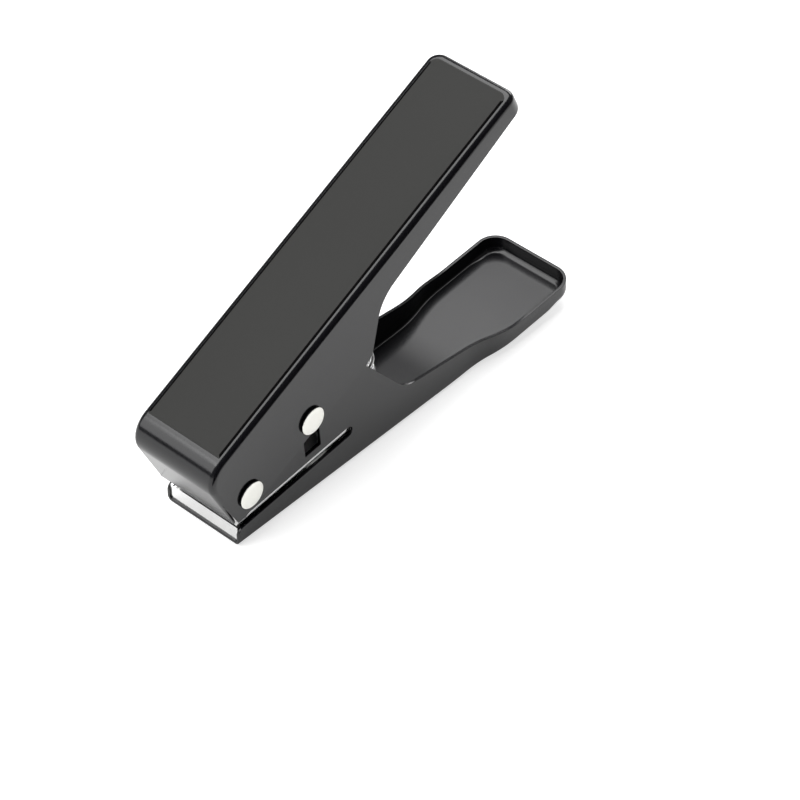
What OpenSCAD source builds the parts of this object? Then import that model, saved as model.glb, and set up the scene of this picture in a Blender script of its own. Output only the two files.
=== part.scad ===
// Hand lever punch that cuts plectrums out of a plastic strip or card.
// A pressed steel lever turns on a rivet at the front of a pressed steel base.
// A second rivet in the lever drives a plectrum shaped punch through a guide into a die.
// X runs from the nose to the tray, Y across, Z up from the ground.

/* [Base pressing] */
// Length of the base from its front edge to the end of the tray
base_l = 174; // [166:1:190]
// Width of the base over its two cheeks
base_w = 34; // [33:0.5:38]
// Thickness of the base sheet
base_t = 1.2; // [1:0.1:1.5]
// Outside bend radius along the bottom edges of the sides
base_bend_r = 2; // [1.6:0.2:2.6]
// Width of the tray
tray_w = 39.4; // [37:0.2:42]
// Angle by which the floor of the tray turns up
tray_lift = 4.4; // [3:0.1:6]
// Distance from the front edge to where the tray starts to widen
flare_x = 117; // [110:1:120]
// Length over which the tray widens
flare_l = 24; // [18:1:26]
// Plan radius of the rear corners of the tray
tray_corner_r = 8; // [7:0.5:12]
// Bend radius along the bottom edge of the tray at its rear
tray_bend_r = 3.5; // [3:0.5:6]
// Place of the bend in the rim where the cheeks come down to the tray
rim_bend_x = 84; // [80:0.5:90]
// Height of that bend
rim_bend_h = 16; // [14:0.5:20]
// Radius of that bend
rim_bend_r = 14; // [10:1:18]
// Distance from the front edge to the lowest place of the rim
rim_low_x = 141; // [136:1:145]
// Height of the rim at its lowest place
rim_low_h = 9.7; // [9.1:0.2:10.5]
// Radius of the rim at its lowest place
rim_low_r = 60; // [30:5:80]
// Height of the rim at its rear end
rim_end_h = 12.3; // [11:0.1:13]

/* [Die and guide] */
// Tilt of the die face against the ground
die_tilt = 6; // [3:0.5:8]
// Height of the die face at the front edge of the base
die_h = 7.2; // [6.5:0.1:8.5]
// Gap between the die block and the end of the strip slot
die_gap = 3; // [2:0.5:3]
// Depth of the strip slot from the front edge
slot_l = 57; // [56.5:0.5:60]
// Height of the strip slot in the cheeks
slot_h = 4.4; // [3.6:0.1:5]
// Gap between die and guide where the strip goes in
strip_gap = 1.2; // [1:0.1:1.6]
// Thickness of the guide block
guide_t = 9.4; // [8.4:0.1:9.5]
// Depth of the strip stop block
stop_l = 6; // [5.5:0.5:8]
// Height of the cheeks above the die face
cheek_h = 33; // [31:0.5:35]
// Distance along the die face to the top rear corner of the cheeks
cheek_l = 61.5; // [58:0.5:64]
// Radius of the top rear corner of the cheeks
cheek_rear_r = 4; // [3:0.5:5]
// Radius of the top front corner of the cheeks
cheek_front_r = 7; // [6:0.5:8]
// Reach of the cheeks in front of the front edge, along the die face
cheek_front = 0.3; // [0.1:0.1:0.4]
// Radius of the lower front corner of the cheeks above the strip slot
cheek_lip_r = 2; // [1:0.5:3]
// Radius of the front corner of the base below the strip slot
base_lip_r = 3; // [2:0.5:4]
// Distance of die and guide behind the front edge
front_gap = 0.6; // [0.4:0.1:0.8]

/* [Plectrum] */
// Length of the plectrum
pick_l = 30; // [27:0.5:31]
// Width of the plectrum
pick_w = 26; // [22:0.5:26]
// Radius of the tip
pick_tip_r = 3.2; // [2:0.2:5]
// Radius of the two shoulders
pick_shoulder_r = 9; // [7:0.5:10]
// Height of the cutter
cutter_h = 13; // [12:0.5:15]
// Height of the cutting edge above the die face with the lever up
cutter_lift = 5.8; // [5:0.2:7]
// Length of the carrier block along the die face
carrier_l = 16.5; // [16:0.5:17]
// Width of the carrier block
carrier_w = 11; // [9:0.5:11]
// Height of the carrier block
carrier_h = 12; // [11:0.5:14]
// Distance from the end of the carrier to the heads of its screws
carrier_edge = 0.4; // [0.3:0.05:0.5]
// Width of the step round the hole in the floor that lets the plectrum out
drop_step = 1; // [0.6:0.1:1.4]

/* [Lever pressing] */
// Thickness of the lever sheet
lever_t = 1.2; // [0.8:0.1:1.4]
// Gap between a cheek and a lever skirt
skirt_gap = 0.4; // [0.35:0.05:0.6]
// Height of the lever top above the pivot
lever_top = 26; // [25:0.5:28]
// Depth of the nose flap below the pivot
flap_drop = 6.4; // [5.5:0.1:6.4]
// Width of the slits between nose flap and skirts at their open end
slit_w = 1.5; // [1:0.1:1.8]
// Length of these slits
slit_l = 11.4; // [9:0.2:12]
// Depth of the front skirts below the pivot
skirt_drop = 7.25; // [6.5:0.25:8]
// Distance from the pivot to the face of the nose
nose_reach = 10.6; // [10.5:0.1:12]
// Bend radius of the nose
nose_r = 10; // [7:0.5:12]
// Bend radius along the top edges of the lever
edge_r = 2.2; // [1.8:0.2:3]
// Distance from the pivot to the tail of the lever
lever_reach = 159.8; // [150:1:170]
// Plan radius of the tail corners
tail_corner_r = 5; // [4:0.5:8]
// Bend radius along the top of the tail
tail_top_r = 3; // [2.4:0.2:4]
// Depth of the skirt at the tail
tail_h = 8.2; // [7.4:0.2:10]
// Radius of the lower corner of the skirt at the tail
tail_low_r = 1; // [0.5:0.5:2]
// Distance from the pivot to the end of the deep skirt
skirt_reach = 63.5; // [60:0.5:66]
// Radius of the corner at the end of the deep skirt
skirt_r = 5; // [3:0.5:7]
// Distance from the pivot to the start of the shallow skirt
arm_reach = 77.5; // [75:0.5:82]
// Depth of the shallow skirt where it starts
arm_h = 14.9; // [13:0.1:17]
// Radius of the bend where the shallow skirt starts
arm_r = 16; // [10:1:20]
// Angle between lever and die face with the lever up
rest_angle = 20; // [18:0.5:21]
// Angle that the lever turns when it is pressed
press_angle = 25; // [20:1:25]

/* [Rivets] */
// Distance of the pivot from the front edge, along the die face
pivot_s = 5.9; // [5:0.1:6.5]
// Height of the pivot above the die face
pivot_h = 15; // [14.8:0.1:16]
// Distance of the punch pin from the end of the strip slot, along the die face
pin_back = 20; // [19.5:0.25:21]
// Height of the punch pin above the die face with the lever up
pin_h = 24.9; // [24:0.1:26]
// Radius of both rivets
rivet_r = 2.7; // [2.2:0.1:3]
// Radius of the rivet heads
rivet_head_r = 5.3; // [4.5:0.1:6]
// Thickness of the rivet heads
rivet_head_t = 1.5; // [1:0.1:2]
// Wall of the sleeve on the pivot pin
sleeve_t = 1.1; // [0.8:0.1:1.3]
// Outside radius of the shims on the pivot pin
washer_r = 5; // [4:0.25:6]
// Thickness of the shims
washer_t = 0.3; // [0.15:0.05:0.3]

/* [Screws] */
// Shank radius of the countersunk screws
screw_r = 1.25; // [1:0.05:1.4]
// Head radius of the countersunk screws
screw_head_r = 2.2; // [2:0.1:2.5]
// Height of the countersunk heads
screw_head_h = 1; // [0.8:0.1:1.1]
// Depth of a die or side screw
screw_l = 4.6; // [3.5:0.2:4.8]
// Distance from the front of the die to its screws
die_screw_inset = 11; // [9:0.5:13]
// Distance from the sides of the base to the die screws
die_screw_side = 6; // [5.5:0.25:7]
// Distance from the front edge to a side screw, along the die face
side_screw_s = 3.5; // [3:0.1:4.5]
// Height of a side screw above the die face
side_screw_h = 8; // [7:0.1:8.4]

/* [Return spring] */
// Distance from the front edge to the foot of the spring
spring_x = 77.5; // [75:0.5:84]
// Outside radius of the spring
spring_r = 7; // [6:0.25:8]
// Radius of the spring wire
wire_r = 1; // [0.7:0.05:1.2]
// Number of curls
curls = 13; // [9:1:15]
// Gap between the end curls
end_gap = 0.7; // [0.6:0.1:1.2]
// Thickness of the plates of cup and cap
seat_t = 1.2; // [1:0.1:1.6]
// Height of the spigots that hold the spring in place
spigot_h = 4; // [3:0.5:6]
// Clearance between the spigots and the curls
spigot_gap = 0.5; // [0.4:0.1:0.8]
// Edge of the plates of cup and cap outside the curls
seat_edge = 0.5; // [0.2:0.1:1]

/* [Label] */
// Thickness of the panel on top of the lever
label_t = 0.3; // [0.2:0.05:0.5]
// Distance of the panel from the tail
label_inset = 3; // [2:0.5:6]
// Corner radius of the panel
label_r = 3; // [2:0.5:5]

/* [Clearances] */
// Radial clearance of pins that turn
pin_fit = 0.05; // [0.03:0.01:0.08]
// Clearance between fixed pieces
seat_gap = 0.1; // [0.05:0.05:0.2]
// Clearance of the cutter in die and guide
cut_gap = 0.1; // [0.06:0.02:0.2]
// Clearance of the travelling pin in its slots
slot_gap = 0.35; // [0.3:0.05:0.5]

/* [Hidden] */
$fn = 48;
arc_steps = 6;
pick_step = 10;
curl_rings = 8;
wire_sides = 6;
over = 1;

inner_w = base_w - 2 * base_t;
lever_w = base_w + 2 * (skirt_gap + lever_t);
lever_tilt = die_tilt + rest_angle;
guide_top = strip_gap + guide_t;
stop_s = slot_l + seat_gap;
die_l = slot_l - die_gap;
pin_s = slot_l - pin_back;
guide_l = stop_s + stop_l;
slot_end_r = 0.48 * slot_h;
nose_start = nose_r - nose_reach;
label_l = lever_reach - label_inset - nose_start;
label_w = lever_w - 2 * edge_r;

// Pivot in the frame of the base
pivot = die_point(pivot_s, pivot_h);
// Path of the punch pin round the pivot, angles against the die face
pin_reach = norm([pin_s - pivot_s, pin_h - pivot_h]);
pin_angle = atan2(pin_h - pivot_h, pin_s - pivot_s);
pin_low_angle = pin_angle - press_angle;
pin_drop = pin_reach * (sin(pin_angle) - sin(pin_low_angle));
pin_far_s = pivot_s + pin_reach * cos(max(pin_low_angle, 0));
pick_s = (pin_s + pin_far_s) / 2;

// Axis of the spring: an arc, square to the floor at its foot and to the lever at its top
spring_z = base_t + seat_t;
spring_seat_w = lever_top - lever_t - seat_t;
spring_bend_r = (spring_seat_w + (spring_x - pivot.x) * sin(lever_tilt)
    - (spring_z - pivot.y) * cos(lever_tilt)) / sin(lever_tilt);
spring_l = spring_bend_r * lever_tilt * PI / 180;
spring_top = [spring_x - spring_bend_r * (1 - cos(lever_tilt)),
    spring_z + spring_bend_r * sin(lever_tilt)];
spring_cap_u = (spring_top.x - pivot.x) * cos(lever_tilt) + (spring_top.y - pivot.y) * sin(lever_tilt);
coil_r = spring_r - wire_r;
spigot_r = coil_r - wire_r - spigot_gap;
end_pitch = 2 * wire_r + end_gap;
wire_run = spring_l - 2 * wire_r - 2 * seat_gap;
main_pitch = (wire_run - 2 * end_pitch) / (curls - 2);

// Widening of the tray: two equal arcs on each side
flare_d = (tray_w - base_w) / 2;
flare_r = (flare_l * flare_l + flare_d * flare_d) / (4 * flare_d);
flare_angle = 2 * atan(flare_d / flare_l);
tray_x = flare_x + flare_l;
// Height of the folded sides before their outline is cut, and where the floor turns up
sheet_top = die_point(cheek_l, cheek_h).y + over;
lift_x = flare_x - sheet_top * tan(tray_lift);
tray_corner_x = base_l - tray_corner_r;
tray_corner_y = tray_w / 2 - tray_corner_r;

stop_screw_l = die_point(guide_l, strip_gap).y + guide_t / 2 - seat_gap;
cup_rivet_l = base_t + seat_t + spigot_h - seat_gap;
carrier_screw_x = carrier_l / 2 - screw_head_r - carrier_edge;
// Height of the carrier foot above the die face and of the pin above that foot
carrier_z = cutter_lift + cutter_h;
carrier_pin_z = pin_h - carrier_z;

// Point of the die frame (along the face, above the face) in the X and Z of the base
function die_point(s, h) =
    [s * cos(die_tilt) - h * sin(die_tilt), die_h + s * sin(die_tilt) + h * cos(die_tilt)];

function with_radius(p, r) = [p.x, p.y, r];
function unit(v) = v / norm(v);

// Arc at the corner b of the path a, b, c, where b.z is the corner radius
function corner(a, b, c) =
    let (p = [b.x, b.y],
        to_a = unit([a.x, a.y] - p),
        to_c = unit([c.x, c.y] - p),
        half = acos(to_a * to_c) / 2,
        middle = p + unit(to_a + to_c) * b.z / sin(half),
        first = p + to_a * b.z / tan(half) - middle,
        start = atan2(first.y, first.x),
        turn = -sign(cross(to_a, to_c)) * (180 - 2 * half))
    [for (i = [0 : arc_steps])
        middle + b.z * [cos(start + turn * i / arc_steps), sin(start + turn * i / arc_steps)]];

// Outline through points [x, y, corner radius]
function rounded(points) =
    let (n = len(points))
    [for (i = [0 : n - 1])
        each points[i].z == 0
            ? [[points[i].x, points[i].y]]
            : corner(points[(i + n - 1) % n], points[i], points[(i + 1) % n])];

// Plectrum outline: the line round three circles, tip to the front
function pick_outline(grow) =
    let (tip = [pick_tip_r - pick_l / 2, 0, pick_tip_r + grow],
        back = pick_l / 2 - pick_shoulder_r,
        side = pick_w / 2 - pick_shoulder_r,
        circles = [tip, [back, side, pick_shoulder_r + grow], [back, -side, pick_shoulder_r + grow]])
    [for (a = [0 : pick_step : 360 - pick_step])
        let (out = [cos(a), sin(a)],
            reach = [for (c = circles) [c.x, c.y] * out + c.z],
            best = circles[search(max(reach), reach)[0]])
        [best.x, best.y] + best.z * out];

module die_frame() {
    translate([0, 0, die_h]) rotate([0, -die_tilt, 0]) children();
}

module lever_frame() {
    translate([pivot.x, 0, pivot.y]) rotate([0, -lever_tilt, 0]) children();
}

// The whole part sits with the middle of the base over the origin
module in_place() {
    translate([-base_l / 2, 0, 0]) children();
}

// Extrusion across the part of an outline drawn in X and Z
module across(width) {
    rotate([90, 0, 0]) linear_extrude(width, center = true) children();
}

module cross_bore(r, width) {
    rotate([90, 0, 0]) cylinder(r = r, h = width, center = true);
}

// Countersunk screw standing on its head, or the hole for it, whose cone runs on past the head
module countersunk(length, grow = 0, past = 0) {
    spread = (screw_head_r - screw_r) / screw_head_h;
    union() {
        translate([0, 0, -past])
            cylinder(r1 = screw_head_r + grow + past * spread, r2 = screw_r + grow, h = screw_head_h + past);
        translate([0, 0, screw_head_h / 2])
            cylinder(r = screw_r + grow, h = length - screw_head_h / 2);
    }
}

module countersunk_hole(length) {
    countersunk(length, seat_gap / 2, 2 * seat_gap);
}

// Section of the base across X, or of the space inside it for an inset of the sheet
function base_section(half, bend_r, inset, top) =
    let (w = half - inset, r = bend_r - inset)
    rounded([[-w, top, 0], [-w, inset, r], [w, inset, r], [w, top, 0]]);

// Side view of the base: rim of the tray, cheeks and strip slot
module side_outline() {
    polygon(rounded([
        [0, -over, 0],
        [base_l + over, -over, 0],
        [base_l + over, rim_end_h, 0],
        [rim_low_x, rim_low_h, rim_low_r],
        [rim_bend_x, rim_bend_h, rim_bend_r],
        with_radius(die_point(cheek_l, cheek_h), cheek_rear_r),
        with_radius(die_point(-cheek_front, cheek_h), cheek_front_r),
        with_radius(die_point(-cheek_front, slot_h), cheek_lip_r),
        with_radius(die_point(slot_l, slot_h), slot_end_r),
        with_radius(die_point(slot_l, 0), slot_end_r),
        [0, die_h, base_lip_r]]));
}

// Places and half widths of the tray where it widens
flare_side = [
    for (i = [0 : arc_steps]) let (a = -90 + flare_angle * i / arc_steps)
        [flare_x, base_w / 2 + flare_r] + flare_r * [cos(a), sin(a)],
    for (i = [1 : arc_steps]) let (a = 90 + flare_angle * (1 - i / arc_steps))
        [tray_x, tray_w / 2 - flare_r] + flare_r * [cos(a), sin(a)]];

// Solid through a row of sections that are the same on both sides of the middle
module through(rings) {
    n = len(rings[0]);
    last = (len(rings) - 1) * n;
    ends = [for (j = [0 : n / 2 - 2]) let (near = [j, j + 1], far = [n - 2 - j, n - 1 - j])
        each [[near[0], near[1], far[0], far[1]],
            [last + far[1], last + far[0], last + near[1], last + near[0]]]];
    sides = [for (i = [0 : n : last - n], j = [0 : n - 1]) let (k = (j + 1) % n)
        each [[i + j, i + n + j, i + n + k], [i + j, i + n + k, i + k]]];
    polyhedron([for (ring = rings) each ring], concat(ends, sides));
}

// A point of the channel as the turned up tray sees it
function from_tray(p) =
    let (d = p.x - lift_x)
    [lift_x + d * cos(tray_lift) + p.z * sin(tray_lift), p.y, p.z * cos(tray_lift) - d * sin(tray_lift)];

// Point of a section across the tray, turned round the middle of its rear corner
function round_corner(q, a) =
    let (reach = abs(q.x) - tray_corner_y)
    [tray_corner_x + reach * sin(a), sign(q.x) * (tray_corner_y + reach * cos(a)), q.y];

// Sections along the base as the tray sees it: channel, bend of the floor, widening, tray, rear corners
function base_rings(inset, top) =
    let (channel = base_section(base_w / 2, base_bend_r, inset, top),
        tray = base_section(tray_w / 2, base_bend_r, inset, top),
        rear = base_section(tray_w / 2, tray_bend_r, inset, top))
    [[for (q = channel) from_tray([-base_l / 2 - inset, q.x, q.y])],
    [for (q = channel) [lift_x + q.y * tan(tray_lift / 2), q.x, q.y]],
    for (p = flare_side) [for (q = base_section(p.y, base_bend_r, inset, top)) [p.x, q.x, q.y]],
    [for (q = tray) [tray_corner_x - tray_corner_r, q.x, q.y]],
    for (i = [0 : arc_steps]) [for (q = rear) round_corner(q, 90 * i / arc_steps)]];

// Folded sheet of the base before its outline is cut
module base_sheet() {
    translate([lift_x, 0, 0]) rotate([0, -tray_lift, 0]) translate([-lift_x, 0, 0]) difference() {
        through(base_rings(0, sheet_top));
        through(base_rings(base_t, sheet_top + over));
    }
}

// Square slot in which the punch pin travels, along the die normal
module pin_slot(width) {
    r = rivet_r + slot_gap;
    translate([pin_s - r, -width / 2, pin_h - pin_drop - r])
        cube([pin_far_s - pin_s + 2 * r, width, pin_drop + 2 * r]);
}

// Places of the two die screws on the floor
module at_die_screws() {
    side = base_w / 2 - die_screw_side;
    for (y = [-side, side])
        translate([front_gap + die_screw_inset, y, seat_gap]) children();
}

// Places of the two long screws behind the strip slot
module at_stop_screws() {
    x = die_point(stop_s + stop_l / 2, 0).x;
    for (y = [-inner_w / 4, inner_w / 4])
        translate([x, y, seat_gap]) children();
}

// Places of the two screws through the cheeks, heads outward
module at_side_screws() {
    for (side = [-1, 1])
        die_frame() translate([side_screw_s, side * (base_w / 2 - seat_gap), side_screw_h])
            rotate([side * 90, 0, 0]) children();
}

module base_channel() {
    color([0.05, 0.05, 0.055]) in_place() difference() {
        intersection() {
            base_sheet();
            across(2 * tray_w) side_outline();
        }
        translate([pivot.x, 0, pivot.y]) cross_bore(rivet_r + pin_fit, 2 * base_w);
        die_frame() pin_slot(2 * base_w);
        die_frame() translate([pick_s, 0, -2 * die_h]) linear_extrude(2 * die_h)
            polygon(pick_outline(drop_step));
        at_die_screws() countersunk_hole(screw_l);
        at_stop_screws() countersunk_hole(screw_l);
        at_side_screws() countersunk_hole(screw_l);
        translate([spring_x, 0, seat_gap]) countersunk_hole(screw_l);
    }
}

// Space between the cheeks, a little smaller than the channel
module channel_fill() {
    rotate([90, 0, 90]) linear_extrude(base_l)
        polygon(base_section(base_w / 2, base_bend_r, base_t + seat_gap, die_h + 2 * cheek_h));
}

module die_block() {
    color([0.85, 0.86, 0.87]) in_place() difference() {
        intersection() {
            translate([front_gap, 0, 0]) channel_fill();
            die_frame() translate([-die_l, -base_w, -2 * die_l]) cube([3 * die_l, 2 * base_w, 2 * die_l]);
            translate([0, -base_w, base_t]) cube([front_gap + die_l * cos(die_tilt), 2 * base_w, cheek_h]);
        }
        die_frame() translate([pick_s, 0, -die_l]) linear_extrude(2 * die_l) polygon(pick_outline(cut_gap));
        at_die_screws() countersunk_hole(screw_l + seat_gap);
    }
}

module guide_block() {
    w = inner_w - 2 * seat_gap;
    color([0.82, 0.83, 0.85]) in_place() difference() {
        die_frame() difference() {
            translate([front_gap, -w / 2, strip_gap]) cube([guide_l - front_gap, w, guide_t]);
            translate([pick_s, 0, 0]) linear_extrude(2 * guide_top) polygon(pick_outline(cut_gap));
            pin_slot(2 * base_w);
            translate([pivot_s, 0, pivot_h]) cross_bore(rivet_r + sleeve_t + slot_gap, 2 * base_w);
        }
        at_stop_screws() cylinder(r = screw_r + seat_gap / 2, h = stop_screw_l + seat_gap);
        at_side_screws() countersunk_hole(screw_l + seat_gap);
    }
}

module strip_stop() {
    color([0.7, 0.71, 0.73]) in_place() difference() {
        intersection() {
            channel_fill();
            translate([0, -base_w, base_t]) cube([base_l, 2 * base_w, cheek_h]);
            die_frame() translate([stop_s, -base_w, strip_gap - base_l])
                cube([stop_l, 2 * base_w, base_l]);
        }
        at_stop_screws() cylinder(r = screw_r + seat_gap / 2, h = stop_screw_l);
    }
}

module die_screws() {
    color([0.6, 0.61, 0.63]) in_place() at_die_screws() countersunk(screw_l);
}

module stop_screws() {
    color([0.6, 0.61, 0.63]) in_place() at_stop_screws() countersunk(stop_screw_l);
}

module side_screws() {
    color([0.6, 0.61, 0.63]) in_place() at_side_screws() countersunk(screw_l);
}

module punch_cutter() {
    color([0.75, 0.76, 0.78]) in_place() die_frame() translate([pick_s, 0, cutter_lift]) difference() {
        linear_extrude(cutter_h) polygon(pick_outline(0));
        for (x = [-carrier_screw_x, carrier_screw_x])
            translate([x, 0, cutter_h - screw_l]) cylinder(r = screw_r + seat_gap / 2, h = 2 * screw_l);
    }
}

module punch_carrier() {
    r = rivet_r + slot_gap;
    half = (pin_far_s - pin_s) / 2;
    color([0.45, 0.46, 0.48]) in_place() die_frame() translate([pick_s, 0, carrier_z]) difference() {
        translate([-carrier_l / 2, -carrier_w / 2, 0]) cube([carrier_l, carrier_w, carrier_h]);
        translate([0, 0, carrier_pin_z]) {
            for (x = [-half, half]) translate([x, 0, 0]) cross_bore(r, 2 * carrier_w);
            translate([-half, -carrier_w, -r]) cube([2 * half, 2 * carrier_w, 2 * r]);
        }
        for (x = [-carrier_screw_x, carrier_screw_x])
            translate([x, 0, carrier_h - seat_gap]) mirror([0, 0, 1]) countersunk_hole(2 * carrier_h);
    }
}

module carrier_screws() {
    color([0.6, 0.61, 0.63]) in_place() die_frame() translate([pick_s, 0, carrier_z + carrier_h - seat_gap])
        for (x = [-carrier_screw_x, carrier_screw_x])
            translate([x, 0, 0]) mirror([0, 0, 1]) countersunk(carrier_h + screw_l - 2 * seat_gap);
}

// Rivet across the lever with a flat head on each side
module rivet() {
    head_y = lever_w / 2 + pin_fit;
    union() {
        cross_bore(rivet_r, 2 * head_y + rivet_head_t);
        for (side = [-1, 1])
            translate([0, side * (head_y + rivet_head_t / 2), 0]) cross_bore(rivet_head_r, rivet_head_t);
    }
}

module punch_pin() {
    color([0.93, 0.92, 0.87]) in_place() die_frame() translate([pin_s, 0, pin_h]) rivet();
}

module pivot_pin() {
    color([0.93, 0.92, 0.87]) in_place() translate([pivot.x, 0, pivot.y]) rivet();
}

module pivot_sleeve() {
    color([0.7, 0.71, 0.73]) in_place() translate([pivot.x, 0, pivot.y]) difference() {
        cross_bore(rivet_r + pin_fit + sleeve_t, inner_w - seat_gap);
        cross_bore(rivet_r + pin_fit, 2 * base_w);
    }
}

module pivot_washers() {
    color([0.7, 0.71, 0.73]) in_place() translate([pivot.x, 0, pivot.y])
        for (side = [-1, 1])
            translate([0, side * (base_w / 2 + skirt_gap / 2), 0]) difference() {
                cross_bore(washer_r, washer_t);
                cross_bore(rivet_r + pin_fit, base_w);
            }
}

// Solid outside of the lever, or the space inside it for an inset of the sheet
module lever_solid(inset, low) {
    w = lever_w / 2 - inset;
    r = edge_r - inset;
    top = lever_top - inset;
    bend = [nose_start, lever_top - nose_r];
    tail = lever_reach - inset;
    intersection() {
        union() {
            translate([bend.x, 0, 0]) rotate([90, 0, 90]) linear_extrude(tail - bend.x)
                polygon(rounded([[-w, low, 0], [w, low, 0], [w, top, r], [-w, top, r]]));
            translate([bend.x, 0, bend.y]) rotate([90, 0, 0]) rotate([0, 0, 90]) rotate_extrude(angle = 90)
                polygon(rounded([[0, -w, 0], [nose_r - inset, -w, r], [nose_r - inset, w, r], [0, w, 0]]));
            translate([bend.x, 0, low]) linear_extrude(bend.y - low)
                polygon(rounded([[0, -w, 0], [0, w, 0], [inset - nose_r, w, r], [inset - nose_r, -w, r]]));
        }
        translate([0, 0, low]) linear_extrude(top - low + over) polygon(rounded([
            [-nose_reach - over, -w - over, 0], [tail - tail_corner_r, -w - over, 0],
            [tail - tail_corner_r, -w, 0], [tail, -w, tail_corner_r - inset],
            [tail, w, tail_corner_r - inset], [tail - tail_corner_r, w, 0],
            [tail - tail_corner_r, w + over, 0], [-nose_reach - over, w + over, 0]]));
        across(2 * base_w) polygon(rounded([
            [-nose_reach - over, low - over, 0], [tail, low - over, 0], [tail, top, tail_top_r - inset],
            [-nose_reach - over, top, 0]]));
    }
}

// Side view of the lever below its top
module skirt_outline() {
    polygon(rounded([
        [-nose_reach - over, -flap_drop, 0],
        [edge_r - nose_reach, -flap_drop, 0],
        [2 * edge_r - nose_reach, -skirt_drop, 0],
        [skirt_reach, -skirt_drop, skirt_r],
        [arm_reach, lever_top - arm_h, arm_r],
        [lever_reach, lever_top - tail_h, tail_low_r],
        [lever_reach, lever_top + over, 0],
        [-nose_reach - over, lever_top + over, 0]]));
}

// Wedge through the rounded edge that parts the nose flap from a skirt
module nose_slit(side) {
    translate([edge_r - nose_reach, side * (lever_w / 2 - edge_r), -flap_drop])
        rotate([90, 0, -90 - 45 * side]) linear_extrude(2 * edge_r)
            polygon([[-slit_w / 2, -over], [slit_w / 2, -over], [0, slit_l]]);
}

module lever() {
    pin = pin_reach * [cos(pin_angle - rest_angle), sin(pin_angle - rest_angle)];
    low = -skirt_drop - over;
    color([0.06, 0.06, 0.065]) in_place() lever_frame() difference() {
        intersection() {
            lever_solid(0, low);
            across(2 * base_w) skirt_outline();
        }
        lever_solid(lever_t, low - over);
        for (side = [-1, 1]) nose_slit(side);
        cross_bore(rivet_r + pin_fit, 2 * base_w);
        translate([pin.x, 0, pin.y]) cross_bore(rivet_r + pin_fit, 2 * base_w);
    }
}

module label_panel() {
    y = label_w / 2;
    color([0.3, 0.3, 0.29]) in_place() lever_frame() translate([nose_start, 0, lever_top])
        linear_extrude(label_t) polygon(rounded([
            [0, -y, 0], [label_l, -y, label_r], [label_l, y, label_r], [0, y, 0]]));
}

// Height along the spring axis after a number of turns: close end curls, open ones between
function coil_rise(turn) =
    wire_r + seat_gap + (turn <= 1 ? turn * end_pitch
        : turn <= curls - 1 ? end_pitch + (turn - 1) * main_pitch
        : end_pitch + (curls - 2) * main_pitch + (turn - curls + 1) * end_pitch);

// Middle of the wire after a number of turns, on the bent axis
function wire_middle(turn) =
    let (lean = coil_rise(turn) / spring_bend_r * 180 / PI)
    [spring_x - spring_bend_r * (1 - cos(lean)), 0, spring_z + spring_bend_r * sin(lean)]
        + coil_r * wire_out(turn);

function wire_out(turn) =
    let (lean = coil_rise(turn) / spring_bend_r * 180 / PI)
    [cos(lean) * cos(360 * turn), sin(360 * turn), sin(lean) * cos(360 * turn)];

function wire_up(turn) =
    let (lean = coil_rise(turn) / spring_bend_r * 180 / PI)
    [-sin(lean), 0, cos(lean)];

wire_turns = [for (i = [0 : curls * curl_rings]) i / curl_rings];
wire_middles = [for (t = wire_turns) wire_middle(t)];
wire_gap = min([for (i = [0 : len(wire_turns) - 1], j = [i + curl_rings / 2 : i + 2 * curl_rings])
    if (j < len(wire_turns)) norm(wire_middles[i] - wire_middles[j])]) - 2 * wire_r;
echo(least_gap_between_curls = wire_gap);

module return_spring() {
    last = len(wire_turns) - 1;
    points = [for (i = [0 : last], k = [0 : wire_sides - 1]) let (a = 360 * k / wire_sides)
        wire_middles[i] + wire_r * (cos(a) * wire_out(wire_turns[i]) + sin(a) * wire_up(wire_turns[i]))];
    skin = [for (i = [0 : last - 1], k = [0 : wire_sides - 1])
        let (n = (k + 1) % wire_sides, a = i * wire_sides + k, b = i * wire_sides + n)
        each [[a, b, b + wire_sides], [a, b + wire_sides, a + wire_sides]]];
    ends = [for (k = [1 : wire_sides - 2])
        each [[0, k + 1, k], [last * wire_sides, last * wire_sides + k, last * wire_sides + k + 1]]];
    color([0.9, 0.9, 0.91]) in_place() polyhedron(points, concat(skin, ends));
}

// Spring seat: a plate with a spigot inside the curls
module spring_seat() {
    union() {
        cylinder(r = spring_r + seat_edge, h = seat_t);
        cylinder(r = spigot_r, h = seat_t + spigot_h);
    }
}

module spring_cup() {
    color([0.7, 0.71, 0.73]) in_place() translate([spring_x, 0, base_t]) difference() {
        spring_seat();
        translate([0, 0, -base_t]) cylinder(r = screw_r + seat_gap / 2, h = 2 * cup_rivet_l);
    }
}

module cup_rivet() {
    color([0.6, 0.61, 0.63]) in_place() translate([spring_x, 0, seat_gap]) countersunk(cup_rivet_l);
}

module spring_cap() {
    color([0.7, 0.71, 0.73]) in_place() lever_frame()
        translate([spring_cap_u, 0, lever_top - lever_t]) mirror([0, 0, 1]) spring_seat();
}

base_channel();
die_block();
guide_block();
strip_stop();
die_screws();
stop_screws();
side_screws();
punch_cutter();
punch_carrier();
carrier_screws();
punch_pin();
pivot_pin();
pivot_sleeve();
pivot_washers();
lever();
label_panel();
return_spring();
spring_cup();
cup_rivet();
spring_cap();
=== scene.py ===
import bmesh
import bpy
import numpy as np
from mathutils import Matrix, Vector
from mathutils.geometry import delaunay_2d_cdt


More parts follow.
